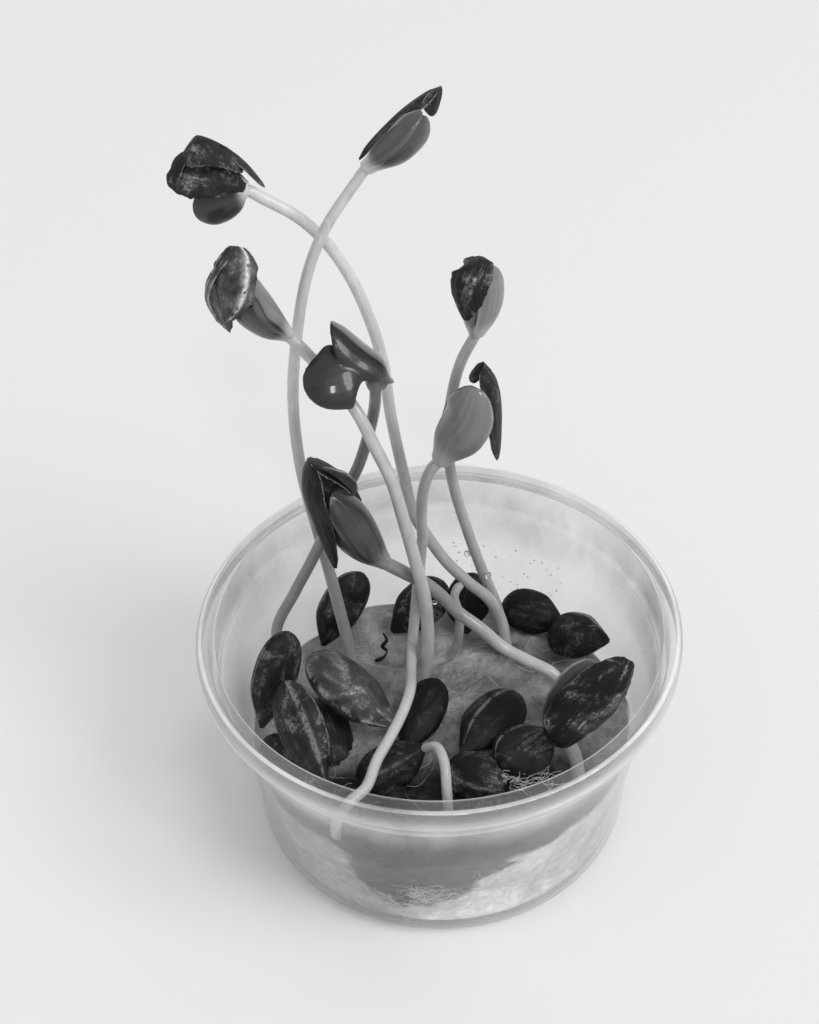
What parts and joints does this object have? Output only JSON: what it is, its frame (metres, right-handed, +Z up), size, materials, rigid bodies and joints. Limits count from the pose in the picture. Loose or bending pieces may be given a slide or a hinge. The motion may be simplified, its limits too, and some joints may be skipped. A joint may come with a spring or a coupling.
{
  "type": "sunflower microgreens cup",
  "caption": "Sunflower sprouts with curved stems, folded seed leaves and split seed coats, growing from seeds on wet cotton wool in a small round clear cup.",
  "frame": {"origin": "centre of the cup's underside, on the surface that it stands on", "axes": "+Z up along the cup's axis and the sprouts' height, -Y towards the side that the picture was taken from"},
  "size_m": [0.075, 0.075, 0.115],
  "materials": {
    "clear_plastic": "clear, slightly cloudy, with a glossy rolled rim",
    "wet_cotton": "soaked flat on top, fluffy where it is dry",
    "sprout_flesh": "smooth, slightly shiny, pale stems and darker leaves",
    "seed_coat": "dark wet husk with fine pale stripes and specks"
  },
  "bodies": {
    "root": {"cup": "clear_plastic", "cotton_wool": "wet_cotton", "sprout_1": "sprout_flesh", "sprout_2": "sprout_flesh", "sprout_3": "sprout_flesh", "sprout_4": "sprout_flesh", "sprout_5": "sprout_flesh", "sprout_6": "sprout_flesh", "sprout_7": "sprout_flesh", "sprout_8": "sprout_flesh", "young_root_1": "sprout_flesh", "young_root_2": "sprout_flesh", "seed_coat_1": "seed_coat", "seed_coat_2": "seed_coat", "seed_coat_3": "seed_coat", "seed_coat_5": "seed_coat", "seed_coat_6": "seed_coat", "seed_coat_7": "seed_coat", "seed_coat_8": "seed_coat", "seed_01": "seed_coat", "seed_02": "seed_coat", "seed_03": "seed_coat", "seed_04": "seed_coat", "seed_05": "seed_coat", "seed_06": "seed_coat", "seed_07": "seed_coat", "seed_08": "seed_coat", "seed_09": "seed_coat", "seed_10": "seed_coat", "seed_11": "seed_coat", "seed_12": "seed_coat", "seed_13": "seed_coat", "seed_14": "seed_coat", "seed_15": "seed_coat", "seed_16": "seed_coat", "seed_17": "seed_coat", "seed_18": "seed_coat", "seed_19": "seed_coat"}
  },
  "joints": []
}
